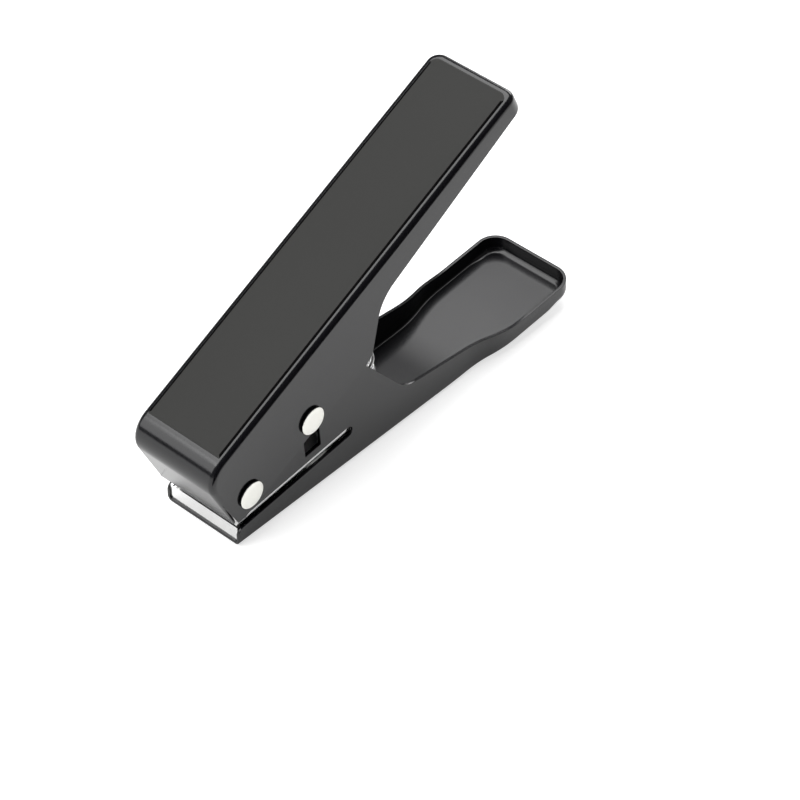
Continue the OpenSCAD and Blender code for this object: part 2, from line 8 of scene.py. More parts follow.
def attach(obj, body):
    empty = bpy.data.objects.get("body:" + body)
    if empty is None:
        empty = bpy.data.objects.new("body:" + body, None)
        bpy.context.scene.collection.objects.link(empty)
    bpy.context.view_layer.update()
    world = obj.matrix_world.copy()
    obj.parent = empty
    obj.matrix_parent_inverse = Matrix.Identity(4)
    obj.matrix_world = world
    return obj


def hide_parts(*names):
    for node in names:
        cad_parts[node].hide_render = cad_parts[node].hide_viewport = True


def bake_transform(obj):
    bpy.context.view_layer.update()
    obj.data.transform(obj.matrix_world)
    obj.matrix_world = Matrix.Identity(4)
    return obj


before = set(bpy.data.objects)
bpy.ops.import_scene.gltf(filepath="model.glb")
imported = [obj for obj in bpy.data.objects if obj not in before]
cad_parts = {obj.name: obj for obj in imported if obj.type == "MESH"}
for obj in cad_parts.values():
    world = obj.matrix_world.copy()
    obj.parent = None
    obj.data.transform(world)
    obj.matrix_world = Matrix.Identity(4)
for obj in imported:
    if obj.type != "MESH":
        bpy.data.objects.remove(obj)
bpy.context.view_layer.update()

# Base pressing. One sheet of steel 1.2 mm thick is folded into a channel with two tall cheeks; behind
# them it widens into a shallow tray whose floor turns up a little. It is stove enamelled in gloss
# black after the slots and holes have been punched. Sizes are in millimetres.
MM = 0.001
SHEET, SHEET_EDGE = 1.2, 0.2
BASE_MIDDLE = 87.0
BASE_LENGTH = 174.0
BASE_HALF = 17.0
BASE_BEND = 2.0
DIE_TILT = np.radians(6.0)
DIE_HEIGHT = 7.2
RIVET_BORE = 2.75
PIVOT = (4.29978, 22.73449)
SEAM_X = 105.0
LIFT_X, LIFT_SPAN, LIFT = 113.35, 8.0, np.radians(4.4)
FLARE_X, FLARE_LENGTH, TRAY_HALF = 117.0, 24.0, 19.7
TRAY_CORNER, TRAY_BEND = 8.0, 3.5
TRAY_FAN = 150.0
RIM_BEND, RIM_LOW, RIM_END = (84.0, 16.0), (141.0, 9.7), (175.0, 12.3)
RIM_BEND_R, RIM_LOW_R = 14.0, 60.0
CHEEK_FRONT, CHEEK_REAR, CHEEK_HEIGHT = -0.3, 61.5, 33.0
CHEEK_FRONT_R, CHEEK_REAR_R, FRONT_R = 7.0, 4.0, 3.0
SLOT_DEPTH, SLOT_HEIGHT, SLOT_MOUTH_R = 57.0, 4.4, 2.0
SLOT_END_R = 0.48 * SLOT_HEIGHT
PIN_SLOT_ALONG, PIN_SLOT_ABOVE = (33.95, 41.6), (7.78, 27.95)
SCREW_HOLE, SIDE_SCREW = 2.3, (3.5, 8.0)
FLOOR_SCREWS = [(11.6, 11), (11.6, -11), (59.77, 7.9), (59.77, -7.9), (77.5, 0)]
DIE_MIDDLE, DROP_MARGIN = 38.7, 1.0


def die_point(along, above):
    """Point given along and above the tilted die face, in X and Z of the side view."""
    return (along * np.cos(DIE_TILT) - above * np.sin(DIE_TILT),
            DIE_HEIGHT + along * np.sin(DIE_TILT) + above * np.cos(DIE_TILT))


def rounded(corners, steps=12, closed=True):
    """Outline through corner points (x, y, radius): each corner is the arc that touches both sides."""
    spots = np.array([c[:2] for c in corners], float)
    outline = []
    for k, corner in enumerate(corners):
        radius = corner[2]
        open_end = not closed and k in (0, len(corners) - 1)
        if radius == 0 or open_end:
            outline.append(spots[k][None])
            continue
        back = spots[k - 1] - spots[k]
        ahead = spots[(k + 1) % len(corners)] - spots[k]
        back, ahead = back / np.hypot(*back), ahead / np.hypot(*ahead)
        half = np.arccos(back @ ahead) / 2
        inward = (back + ahead) / np.hypot(*(back + ahead))
        middle = spots[k] + inward * radius / np.sin(half)
        first = spots[k] + back * radius / np.tan(half) - middle
        turn = -np.sign(back[0] * ahead[1] - back[1] * ahead[0]) * (np.pi - 2 * half)
        angle = np.arctan2(first[1], first[0]) + turn * np.linspace(0, 1, steps + 1)
        outline.append(middle + radius * np.c_[np.cos(angle), np.sin(angle)])
    return np.concatenate(outline)


def circle(x, y, radius, count=40):
    """Points of a circle: the middle plus the radius times cosine and sine of equal angles."""
    angle = np.linspace(0, 2 * np.pi, count, endpoint=False)
    return np.c_[x + radius * np.cos(angle), y + radius * np.sin(angle)]


def inside(points, loop):
    """True for points inside a loop: a line to their right crosses it an odd number of times."""
    x, y = points.T[:, :, None]
    (ax, ay), (bx, by) = loop.T, np.roll(loop, -1, 0).T
    rise = np.where(by == ay, 1.0, by - ay)
    crossed = ((ay > y) != (by > y)) & (x < ax + (y - ay) * (bx - ax) / rise)
    return crossed.sum(1) % 2 == 1


def collar(hole, margin=0.6):
    """Ring round a hole: each of its points moved outwards from the middle by the margin."""
    out = hole - hole.mean(0)
    return hole + margin * out / np.linalg.norm(out, axis=1)[:, None]


def plate(outline, holes):
    """Flat sheet inside an outline and outside its holes, as points in the plane and triangles."""
    loops = [outline] + holes + [collar(hole) for hole in holes]
    starts = np.cumsum([0] + [len(loop) for loop in loops])
    edges = [(int(s + k), int(s + (k + 1) % len(loop)))
             for s, loop in zip(starts, loops) for k in range(len(loop))]
    points = [Vector(p) for p in np.concatenate(loops)]
    flat, _, faces, *_ = delaunay_2d_cdt(points, edges, [], 0, 1e-6)
    flat, faces = np.array([p[:] for p in flat]), np.array(faces)
    middles = flat[faces].mean(1)
    kept = inside(middles, loops[0])
    for hole in holes:
        kept &= ~inside(middles, hole)
    return flat, faces[kept].tolist()


def grid(points):
    """Quads between the neighbouring rows and columns of an array of points."""
    rows, columns = points.shape[:2]
    at = np.arange(rows * columns).reshape(rows, columns)
    quads = np.stack([at[:-1, :-1], at[:-1, 1:], at[1:, 1:], at[1:, :-1]], -1)
    return points.reshape(-1, 3), quads.reshape(-1, 4).tolist()


def mirrored(patch):
    """The same patch on the other side of the centre plane."""
    points, faces = patch
    return points * [1, -1, 1], [f[::-1] for f in faces]


def joined(name, patches):
    """One object from patches in millimetres, welded where their edges meet."""
    starts = np.cumsum([0] + [len(points) for points, _ in patches])
    faces = [[int(v) + int(s) for v in f] for s, (_, part) in zip(starts, patches) for f in part]
    mesh = bpy.data.meshes.new(name)
    mesh.from_pydata((np.concatenate([p for p, _ in patches]) * MM).tolist(), [], faces)
    shape = bmesh.new()
    shape.from_mesh(mesh)
    bmesh.ops.remove_doubles(shape, verts=shape.verts, dist=0.004 * MM)
    bmesh.ops.dissolve_degenerate(shape, edges=shape.edges, dist=0.001 * MM)
    bmesh.ops.delete(shape, geom=[v for v in shape.verts if not v.link_faces], context="VERTS")
    bmesh.ops.recalc_face_normals(shape, faces=shape.faces)
    shape.to_mesh(mesh)
    shape.free()
    piece = bpy.data.objects.new(name, mesh)
    bpy.context.scene.collection.objects.link(piece)
    return piece


def smooth(piece, angle):
    """Smooth shading, with edges sharper than the angle kept."""
    mesh = piece.data
    mesh.polygons.foreach_set("use_smooth", np.ones(len(mesh.polygons), bool))
    mesh.set_sharp_from_angle(angle=np.radians(angle))
    mesh.update()


def settle(piece):
    """Turns a piece's modifiers into its mesh."""
    seen = piece.evaluated_get(bpy.context.evaluated_depsgraph_get())
    finished = bpy.data.meshes.new_from_object(seen)
    piece.modifiers.clear()
    piece.data = finished


def pressed(piece, spot, direction):
    """Gives a surface the sheet's thickness on its inner side and breaks its cut edges. The surface
    faces outwards where the face nearest to a spot looks along a direction."""
    mesh = piece.data
    count = len(mesh.polygons)
    centres, normals = np.empty(count * 3), np.empty(count * 3)
    mesh.polygons.foreach_get("center", centres)
    mesh.polygons.foreach_get("normal", normals)
    nearest = np.argmin(np.linalg.norm(centres.reshape(-1, 3) - np.array(spot) * MM, axis=1))
    if normals.reshape(-1, 3)[nearest] @ np.array(direction) < 0:
        mesh.flip_normals()
    thick = piece.modifiers.new("sheet", "SOLIDIFY")
    thick.thickness = SHEET * MM
    thick.offset = -1
    thick.use_even_offset = True
    broken = piece.modifiers.new("edges", "BEVEL")
    broken.width = SHEET_EDGE * MM
    broken.segments = 2
    broken.limit_method = "ANGLE"
    broken.angle_limit = np.radians(50)
    broken.use_clamp_overlap = False
    settle(piece)
    smooth(piece, 35)
    flats = piece.modifiers.new("flats", "WEIGHTED_NORMAL")
    flats.keep_sharp = True
    settle(piece)


def ease(x, start, end):
    """Smooth step from 0 to 1 between two places."""
    f = np.clip((np.asarray(x, float) - start) / (end - start), 0, 1)
    return f * f * (3 - 2 * f)


def base_half(x):
    """Half width of the base: straight, then two equal arcs outwards, then straight again."""
    out = TRAY_HALF - BASE_HALF
    radius = (FLARE_LENGTH ** 2 + out ** 2) / (4 * out)
    start = np.clip(x - FLARE_X, 0, FLARE_LENGTH / 2)
    end = np.clip(FLARE_X + FLARE_LENGTH - x, 0, FLARE_LENGTH / 2)
    widen = BASE_HALF + radius - np.sqrt(radius ** 2 - start ** 2)
    level = TRAY_HALF - radius + np.sqrt(radius ** 2 - end ** 2)
    return np.where(x < FLARE_X + FLARE_LENGTH / 2, widen, level)


def turned_up(points):
    """Bends everything behind the tray's turn upwards, on an arc in the side view."""
    x, y, z = np.moveaxis(points, -1, 0)
    first, last = LIFT_X - LIFT_SPAN, LIFT_X + LIFT_SPAN
    radius = (last - first) / LIFT
    angle = np.clip((x - first) / radius, 0, LIFT)
    beyond = np.clip(x - last, 0, None)
    along = np.minimum(x, first) + radius * np.sin(angle) + beyond * np.cos(LIFT)
    rise = radius * (1 - np.cos(angle)) + beyond * np.sin(LIFT)
    return np.stack([along - z * np.sin(angle), y, rise + z * np.cos(angle)], -1)


corner_x = BASE_LENGTH - TRAY_CORNER
corner_y = TRAY_HALF - TRAY_CORNER
side_x = np.linspace(SEAM_X, corner_x, 60)[:-1]
turn = np.linspace(0, np.pi / 2, 21)
rear_y = np.linspace(corner_y, 0, 7)[1:]
foot = np.concatenate([
    np.stack([side_x, -base_half(side_x)], -1),
    np.stack([corner_x + TRAY_CORNER * np.sin(turn), -corner_y - TRAY_CORNER * np.cos(turn)], -1),
    np.stack([np.full_like(rear_y, BASE_LENGTH), -rear_y], -1)])
outward = np.concatenate([
    np.tile([0.0, -1.0], (len(side_x), 1)),
    np.stack([np.sin(turn), -np.cos(turn)], -1),
    np.tile([1.0, 0.0], (len(rear_y), 1))])
foot_r = BASE_BEND + (TRAY_BEND - BASE_BEND) * ease(foot[:, 0], corner_x - TRAY_CORNER, corner_x)
rim = rounded([(*RIM_BEND, 0), (*RIM_LOW, RIM_LOW_R), (*RIM_END, 0)], closed=False)
wall_top = np.full(len(foot), RIM_LOW[1])
# The walls turn up with the floor, so their height is corrected a few times until the top is on the rim.
for _ in range(6):
    top = turned_up(np.c_[foot, wall_top])
    wall_top += np.interp(top[:, 0], rim[:, 0], rim[:, 1]) - top[:, 2]

bend = np.radians(np.linspace(0, 90, 9))
spine = np.stack([np.minimum(foot[:, 0], TRAY_FAN), np.zeros(len(foot))], -1)
inner = foot - outward * foot_r[:, None]
share = np.linspace(0, 1, 6)[None, :-1, None]
floor_part = spine[:, None] + (inner - spine)[:, None] * share
bend_part = inner[:, None] + outward[:, None] * (foot_r[:, None] * np.sin(bend))[..., None]
wall_rise = np.linspace(0, 1, 7)[1:]
wall_z = foot_r[:, None] + (wall_top - foot_r)[:, None] * wall_rise
wall_part = np.repeat(foot[:, None], len(wall_rise), 1)
tray_xy = np.concatenate([floor_part, bend_part, wall_part], 1)
tray_z = np.concatenate([
    np.zeros(floor_part.shape[:2]), foot_r[:, None] * (1 - np.cos(bend)), wall_z], 1)
tray_half = grid(turned_up(np.concatenate([tray_xy, tray_z[..., None]], -1)) - [BASE_MIDDLE, 0, 0])

channel_x = np.linspace(0, SEAM_X, 54)
channel_bend = np.stack(np.broadcast_arrays(
    channel_x[:, None] - BASE_MIDDLE, BASE_BEND * (1 - np.sin(bend)) - BASE_HALF,
    BASE_BEND * (1 - np.cos(bend))), -1)
channel_half = grid(channel_bend)

cheek_top = rounded([
    (SEAM_X, wall_top[0], 0), (*RIM_BEND, RIM_BEND_R),
    (*die_point(CHEEK_REAR, CHEEK_HEIGHT), CHEEK_REAR_R),
    (*die_point(CHEEK_FRONT, CHEEK_HEIGHT), CHEEK_FRONT_R),
    (*die_point(CHEEK_FRONT, SLOT_HEIGHT), SLOT_MOUTH_R),
    (*die_point(SLOT_DEPTH, SLOT_HEIGHT), SLOT_END_R), (*die_point(SLOT_DEPTH, 0), SLOT_END_R),
    (0, DIE_HEIGHT, FRONT_R), (0, BASE_BEND, 0)], closed=False)
cheek_outline = np.concatenate([
    np.c_[channel_x, np.full(len(channel_x), BASE_BEND)],
    np.c_[np.full(len(wall_rise) - 1, SEAM_X), wall_z[0, :-1]], cheek_top[:-1]])
(slot_front, slot_rear), (slot_low, slot_high) = PIN_SLOT_ALONG, PIN_SLOT_ABOVE
pin_slot = np.array([die_point(*corner) for corner in (
    (slot_front, slot_low), (slot_rear, slot_low), (slot_rear, slot_high), (slot_front, slot_high))])
cheek_flat, cheek_faces = plate(cheek_outline, [
    circle(*PIVOT, RIVET_BORE), pin_slot, circle(*die_point(*SIDE_SCREW), SCREW_HOLE, 24)])
cheek = np.c_[cheek_flat[:, 0] - BASE_MIDDLE, np.full(len(cheek_flat), -BASE_HALF), cheek_flat[:, 1]]


def plectrum(grow, middle):
    """Line round three circles, the tip and two shoulders, given by middle and radius: for each
    direction it takes the circle that reaches furthest."""
    circles = np.array([[-11.8, 0, 3.2 + grow], [6, 4, 9 + grow], [6, -4, 9 + grow]])
    angle = np.radians(np.arange(0, 360, 5))
    out = np.c_[np.cos(angle), np.sin(angle)]
    best = circles[np.argmax(out @ circles[:, :2].T + circles[:, 2], axis=1)]
    return best[:, :2] + best[:, 2:] * out + [middle, 0]


floor_side = np.c_[channel_x, np.full(len(channel_x), BASE_BEND - BASE_HALF)]
seam_y = floor_part[0, ::-1, 1][:-1]
floor_seam = np.c_[
    np.full(2 * len(seam_y) + 1, SEAM_X), np.concatenate([seam_y, [0], -seam_y[::-1]])]
floor_outline = np.concatenate([floor_side, floor_seam, floor_side[::-1] * [1, -1]])
floor_flat, floor_faces = plate(floor_outline, [plectrum(DROP_MARGIN, DIE_MIDDLE)] + [
    circle(x, y, SCREW_HOLE, 24) for x, y in FLOOR_SCREWS])
channel_floor = np.c_[floor_flat[:, 0] - BASE_MIDDLE, floor_flat[:, 1], np.zeros(len(floor_flat))]

base_shell = joined("base_shell", [
    (channel_floor, floor_faces), channel_half, mirrored(channel_half), (cheek, cheek_faces),
    mirrored((cheek, cheek_faces)), tray_half, mirrored(tray_half)])
pressed(base_shell, (-10, -BASE_HALF, 5), (0, -1, 0))


class Field:
    """A value that changes over a surface. Sums and products of fields add their Math nodes."""

    def __init__(self, finish, socket):
        self.finish = finish
        self.socket = socket

    def math(self, operation, first, second):
        return self.finish.node("ShaderNodeMath", {"operation": operation}, {0: first, 1: second})

    def __add__(self, other):
        return self.math("ADD", self, other)

    __radd__ = __add__

    def __mul__(self, other):
        return self.math("MULTIPLY", self, other)

    __rmul__ = __mul__


class Finish:
    """A surface finish: one principled shader and the nodes that feed it."""

    def __init__(self, name, **constants):
        self.material = bpy.data.materials.new(name)
        self.material.use_nodes = True
        self.tree = self.material.node_tree
        self.shader = self.tree.nodes["Principled BSDF"]
        self.feed({key.replace("_", " "): value for key, value in constants.items()})

    def node(self, kind, settings={}, sockets={}, out=0):
        made = self.tree.nodes.new(kind)
        for key, value in settings.items():
            setattr(made, key, value)
        self.link(made, sockets)
        return Field(self, made.outputs[out])

    def link(self, made, sockets):
        for key, value in sockets.items():
            if isinstance(value, Field):
                self.tree.links.new(value.socket, made.inputs[key])
            else:
                made.inputs[key].default_value = value

    def feed(self, sockets):
        self.link(self.shader, sockets)

    def place(self):
        return self.node("ShaderNodeTexCoord", out="Object")

    def noise(self, scale, detail=2.0, stretch=(1, 1, 1)):
        spot = self.node("ShaderNodeMapping", {}, {"Vector": self.place(), "Scale": stretch})
        return self.node(
            "ShaderNodeTexNoise", {}, {"Vector": spot, "Scale": scale, "Detail": detail})

    def mix(self, amount, first, second):
        return self.node(
            "ShaderNodeMix", {"data_type": "RGBA"}, {0: amount, 6: first, 7: second}, out=2)

    def bump(self, height, strength, distance):
        return self.node(
            "ShaderNodeBump", {}, {"Height": height, "Strength": strength, "Distance": distance})

    def dress(self, *pieces):
        for piece in pieces:
            piece.data.materials.clear()
            piece.data.materials.append(self.material)


def black_enamel(name, rough):
    """Gloss black stove enamel: a faint orange peel and a slow change of gloss."""
    enamel = Finish(name, Specular_IOR_Level=0.56)
    peel = enamel.noise(900.0, 1.0)
    cloud = enamel.noise(45.0, 3.0)
    enamel.feed({
        "Base Color": enamel.mix(cloud, (0.004, 0.004, 0.005, 1), (0.008, 0.008, 0.010, 1)),
        "Roughness": rough + 0.06 * cloud,
        "Normal": enamel.bump(peel, 0.02, 0.0002)})
    return enamel


black_enamel("base_enamel", 0.2).dress(base_shell)
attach(base_shell, "base")
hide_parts("base_channel")

# Die and guide blocks. Two ground steel plates with a plectrum shaped hole lie one above the other
# between the cheeks, and the strip goes in between them. They are bright zinc plated.
plating = Finish("bright_zinc", Metallic=1.0)
brushed = plating.noise(260.0, 3.0, (0.06, 1.0, 1.0))
plating.feed({
    "Base Color": plating.mix(brushed, (0.87, 0.87, 0.87, 1), (0.97, 0.97, 0.96, 1)),
    "Roughness": 0.1 + 0.12 * brushed,
    "Normal": plating.bump(brushed, 0.05, 0.0001)})
plating.dress(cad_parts["die_block"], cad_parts["guide_block"])

# Strip stop, punch cutter and carrier. Hardened tool steel, ground on its faces and left bare,
# with the fine straight marks of the grinding wheel.
tool_steel = Finish("ground_steel", Metallic=1.0)
ground = tool_steel.noise(420.0, 2.0, (1.0, 0.05, 1.0))
tool_steel.feed({
    "Base Color": tool_steel.mix(ground, (0.46, 0.46, 0.47, 1), (0.62, 0.62, 0.63, 1)),
    "Roughness": 0.28 + 0.18 * ground,
    "Normal": tool_steel.bump(ground, 0.08, 0.0001)})
tool_steel.dress(*(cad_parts[n] for n in ("strip_stop", "punch_cutter", "punch_carrier")))

# Screws, sleeve, shims and spring seats. Small turned steel pieces, zinc plated and a little dull;
# the screws that go through the sheet have their heads flush in it.
screw_zinc = Finish("screw_zinc", Metallic=1.0)
dull = screw_zinc.noise(700.0, 3.0)
screw_zinc.feed({
    "Base Color": screw_zinc.mix(dull, (0.55, 0.55, 0.56, 1), (0.70, 0.70, 0.70, 1)),
    "Roughness": 0.26 + 0.2 * dull})
screw_zinc.dress(*(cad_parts[n] for n in (
    "die_screws", "stop_screws", "side_screws", "carrier_screws", "pivot_sleeve", "pivot_washers",
    "spring_cup", "cup_rivet", "spring_cap")))

# Return spring. Plated spring wire wound into an open compression spring, with a close curl at
# each end; it stands square on the floor of the base and square under the lever.
SPRING_X, SPRING_Z, SPRING_COIL, WIRE = 77.5, 2.4, 6.0, 1.0
CURLS, END_PITCH, SEAT_GAP = 13, 2.7, 0.1
CURL_STEPS, WIRE_SIDES = 28, 14
LEVER_TILT = np.radians(26.0)
LEVER_TOP = 26.0
SPRING_SEAT = LEVER_TOP - SHEET - 1.2
spring_bend = (SPRING_SEAT + (SPRING_X - PIVOT[0]) * np.sin(LEVER_TILT)
               - (SPRING_Z - PIVOT[1]) * np.cos(LEVER_TILT)) / np.sin(LEVER_TILT)
spring_length = spring_bend * LEVER_TILT
main_pitch = (spring_length - 2 * WIRE - 2 * SEAT_GAP - 2 * END_PITCH) / (CURLS - 2)


def spring_wire(turns, round_wire):
    """Wire round a bent axis: the axis is an arc, the curls wind round it and the section follows."""
    rise = WIRE + SEAT_GAP + np.interp(
        turns, [0, 1, CURLS - 1, CURLS],
        np.cumsum([0, END_PITCH, (CURLS - 2) * main_pitch, END_PITCH]))
    lean = rise / spring_bend
    spin = 2 * np.pi * turns
    axis = np.stack([SPRING_X - spring_bend * (1 - np.cos(lean)), 0 * lean,
                     SPRING_Z + spring_bend * np.sin(lean)], -1)
    out = np.stack([np.cos(lean) * np.cos(spin), np.sin(spin), np.sin(lean) * np.cos(spin)], -1)
    up = np.stack([-np.sin(lean), 0 * lean, np.cos(lean)], -1)
    ring = (np.cos(round_wire)[:, None] * out[:, None] + np.sin(round_wire)[:, None] * up[:, None])
    return axis[:, None] + SPRING_COIL * out[:, None] + WIRE * ring - [BASE_MIDDLE, 0, 0]


wire_turns = np.linspace(0, CURLS, CURLS * CURL_STEPS + 1)
wire_round = np.linspace(0, 2 * np.pi, WIRE_SIDES + 1)
wire = spring_wire(wire_turns, wire_round)
wire_end = list(range(WIRE_SIDES))
spring = joined("spring_wire", [
    grid(wire), (wire[0, :-1], [wire_end[::-1]]), (wire[-1, :-1], [wire_end])])
smooth(spring, 50)
spring_plate = Finish("spring_plating", Metallic=1.0, Roughness=0.16)
drawn = spring_plate.noise(1500.0, 2.0)
spring_plate.feed({
    "Base Color": spring_plate.mix(drawn, (0.90, 0.90, 0.90, 1), (0.99, 0.99, 0.99, 1))})
spring_plate.dress(spring)
(SPRING_X - BASE_MIDDLE - spring_bend * (1 - np.cos(LEVER_TILT))) * MM
(SPRING_Z + spring_bend * np.sin(LEVER_TILT)) * MM
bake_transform(spring)
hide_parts("return_spring")

# Lever pressing. Sheet of the same gauge, folded down along both sides, rolled over at the nose
# and closed at the tail, so that it covers the cheeks like a lid. Two slits free the nose flap.
LEVER_HALF, LEVER_EDGE, TAIL_EDGE = 18.6, 2.2, 3.0
NOSE, NOSE_FRONT, NOSE_BEND = -0.6, -10.6, 10.0
FLAP_LOW, SKIRT_LOW, SLIT_TOP, SLIT_WIDTH = -6.4, -7.25, 5.0, 1.4
TAIL, TAIL_CORNER, TAIL_LOW = 159.8, 5.0, 17.8
NOTCH, NOTCH_R, NOTCH_FRONT, NOTCH_FRONT_R = (77.5, 11.1), 16.0, 63.5, 5.0
SKIRT_FRONT_R = 0.6
FAN = 140.0
PIN = (32.612, -1.333)


def lever_place(points):
    """Turns lever coordinates (along, across, above the pivot) into the part's own."""
    along, across, above = np.moveaxis(points, -1, 0)
    x = PIVOT[0] - BASE_MIDDLE + along * np.cos(LEVER_TILT) - above * np.sin(LEVER_TILT)
    z = PIVOT[1] + along * np.sin(LEVER_TILT) + above * np.cos(LEVER_TILT)
    return np.stack([x, across, z], -1)


flap_w = np.concatenate([np.linspace(FLAP_LOW, SLIT_TOP, 10), [7.0, 9.0, 11.5, 14.0]])
nose_a = np.radians(np.linspace(0, 90, 25))
top_u = np.linspace(NOSE, TAIL - TAIL_CORNER, 60)[1:]
crown = np.concatenate([
    np.c_[np.full(len(flap_w), NOSE_FRONT), flap_w],
    np.c_[NOSE - NOSE_BEND * np.cos(nose_a), LEVER_TOP - NOSE_BEND + NOSE_BEND * np.sin(nose_a)],
    np.c_[top_u, np.full(len(top_u), LEVER_TOP)]])
crown_out = np.concatenate([
    np.tile([-1.0, 0.0], (len(flap_w), 1)), np.c_[-np.cos(nose_a), np.sin(nose_a)],
    np.tile([0.0, 1.0], (len(top_u), 1))])
flat_share = np.linspace(0, 1, 6)[:-1]
edge_y = LEVER_HALF - LEVER_EDGE
flat_u = np.where(crown[:, 0] > FAN, FAN, crown[:, 0])
crown_flat = np.stack(np.broadcast_arrays(
    flat_u[:, None] + (crown[:, 0] - flat_u)[:, None] * flat_share, -edge_y * flat_share,
    crown[:, 1][:, None]), -1)


def rolled_edge(angle):
    """Rolled edge of the lever: from the crown line, an arc of the edge radius turned by an angle."""
    drop = LEVER_EDGE * (1 - np.cos(angle))
    return np.stack([
        crown[:, 0][:, None] - crown_out[:, 0][:, None] * drop,
        -edge_y - LEVER_EDGE * np.sin(angle),
        crown[:, 1][:, None] - crown_out[:, 1][:, None] * drop], -1)


open_share = np.clip((SLIT_TOP - crown[:, 1]) / (SLIT_TOP - FLAP_LOW), 0, 1)[:, None]
slit = SLIT_WIDTH / 2 / LEVER_EDGE * open_share
part = np.linspace(0, 1, 6)
flap_edge = rolled_edge((np.pi / 4 - slit) * part)
skirt_edge = rolled_edge(np.pi / 2 - (np.pi / 4 - slit) * part[::-1])
crown_half = grid(lever_place(np.concatenate([crown_flat, flap_edge], 1)))
roll_half = grid(lever_place(skirt_edge))
edge_a = np.pi / 4 * np.concatenate([part, 1 + part[1:]])

tail_turn = np.linspace(0, np.pi / 2, 17)
tail_y = np.linspace(LEVER_HALF - TAIL_CORNER, 0, 8)[1:]
tail_plan = np.concatenate([
    np.c_[TAIL - TAIL_CORNER + TAIL_CORNER * np.sin(tail_turn),
          -(LEVER_HALF - TAIL_CORNER) - TAIL_CORNER * np.cos(tail_turn)],
    np.c_[np.full(len(tail_y), TAIL), -tail_y]])
tail_out = np.concatenate([
    np.c_[np.sin(tail_turn), -np.cos(tail_turn)], np.tile([1.0, 0.0], (len(tail_y), 1))])
tail_r = np.concatenate([
    LEVER_EDGE + (TAIL_EDGE - LEVER_EDGE) * ease(tail_turn, 0, np.pi / 2),
    np.full(len(tail_y), TAIL_EDGE)])
tail_in = tail_plan - tail_out * tail_r[:, None]
fan_spot = np.array([FAN, 0.0])
tail_flat = fan_spot + (tail_in - fan_spot)[:, None] * flat_share[None, :, None]
tail_edge = tail_in[:, None] + tail_out[:, None] * (tail_r[:, None] * np.sin(edge_a))[..., None]
skirt_rise = (TAIL_LOW - NOTCH[1]) / (TAIL - NOTCH[0])
tail_low = NOTCH[1] + skirt_rise * (tail_plan[:, 0] - NOTCH[0])
tail_fall = np.linspace(0, 1, 6)[1:]
tail_wall_w = (LEVER_TOP - tail_r)[:, None] + (tail_low - LEVER_TOP + tail_r)[:, None] * tail_fall
tail_xy = np.concatenate([
    tail_flat, tail_edge, np.repeat(tail_plan[:, None], len(tail_fall), 1)], 1)
tail_w = np.concatenate([
    np.full(tail_flat.shape[:2], LEVER_TOP),
    LEVER_TOP - tail_r[:, None] * (1 - np.cos(edge_a)), tail_wall_w], 1)
tail_half = grid(lever_place(np.concatenate([tail_xy, tail_w[..., None]], -1)))

skirt_upper = crown - crown_out * LEVER_EDGE
skirt_lower = rounded([
    (TAIL - TAIL_CORNER, tail_low[0], 0), (*NOTCH, NOTCH_R), (NOTCH_FRONT, SKIRT_LOW, NOTCH_FRONT_R),
    (2 * LEVER_EDGE + NOSE_FRONT, SKIRT_LOW, SKIRT_FRONT_R),
    (LEVER_EDGE + NOSE_FRONT, FLAP_LOW, 0)], closed=False)
skirt_outline = np.concatenate([
    skirt_upper, np.c_[np.full(len(tail_fall) - 1, TAIL - TAIL_CORNER), tail_wall_w[0, :-1]],
    skirt_lower[:-1]])
skirt_flat, skirt_faces = plate(skirt_outline, [circle(0, 0, RIVET_BORE), circle(*PIN, RIVET_BORE)])
skirt = (lever_place(np.c_[skirt_flat[:, 0], np.full(len(skirt_flat), -LEVER_HALF), skirt_flat[:, 1]]),
         skirt_faces)
lever_shell = joined("lever_shell", [
    crown_half, mirrored(crown_half), roll_half, mirrored(roll_half), tail_half, mirrored(tail_half),
    skirt, mirrored(skirt)])
pressed(lever_shell, lever_place(np.array([50.0, 0, LEVER_TOP])), (-0.44, 0, 0.9))
black_enamel("lever_enamel", 0.15).dress(lever_shell)
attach(lever_shell, "lever")
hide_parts("lever")

# Rivets. Two steel pins with wide flat heads on both ends, bright plated with a warm tint; the sides of
# the heads are painted near black as shade. The front one is the hinge, the rear one sits in the lever
# and drives the punch.
HEAD_R, HEAD_T, HEAD_Y, SHANK_R, HEAD_EDGE, HEAD_TAPER = 5.3, 1.0, 18.65, 2.7, 0.3, 0.5
HEAD_FLAT = 2.4
head_arc = np.radians(np.linspace(0, 90, 7))
half_rivet = np.concatenate([
    [[0, HEAD_Y + HEAD_T], [HEAD_FLAT, HEAD_Y + HEAD_T]],
    np.c_[HEAD_R - HEAD_EDGE + HEAD_EDGE * np.sin(head_arc),
          HEAD_Y + HEAD_T - HEAD_EDGE + HEAD_EDGE * np.cos(head_arc)],
    [[HEAD_R - HEAD_TAPER, HEAD_Y], [SHANK_R, HEAD_Y]]])
rivet_profile = np.concatenate([half_rivet, half_rivet[::-1] * [1, -1]])
around = np.linspace(0, 2 * np.pi, 65)


def rivet(name, x, z):
    """Profile of radius and height turned round an axis across the part."""
    radius, y = rivet_profile.T
    points = np.stack(np.broadcast_arrays(
        x + radius[:, None] * np.cos(around), y[:, None], z + radius[:, None] * np.sin(around)), -1)
    piece = joined(name, [grid(points)])
    smooth(piece, 30)
    return piece


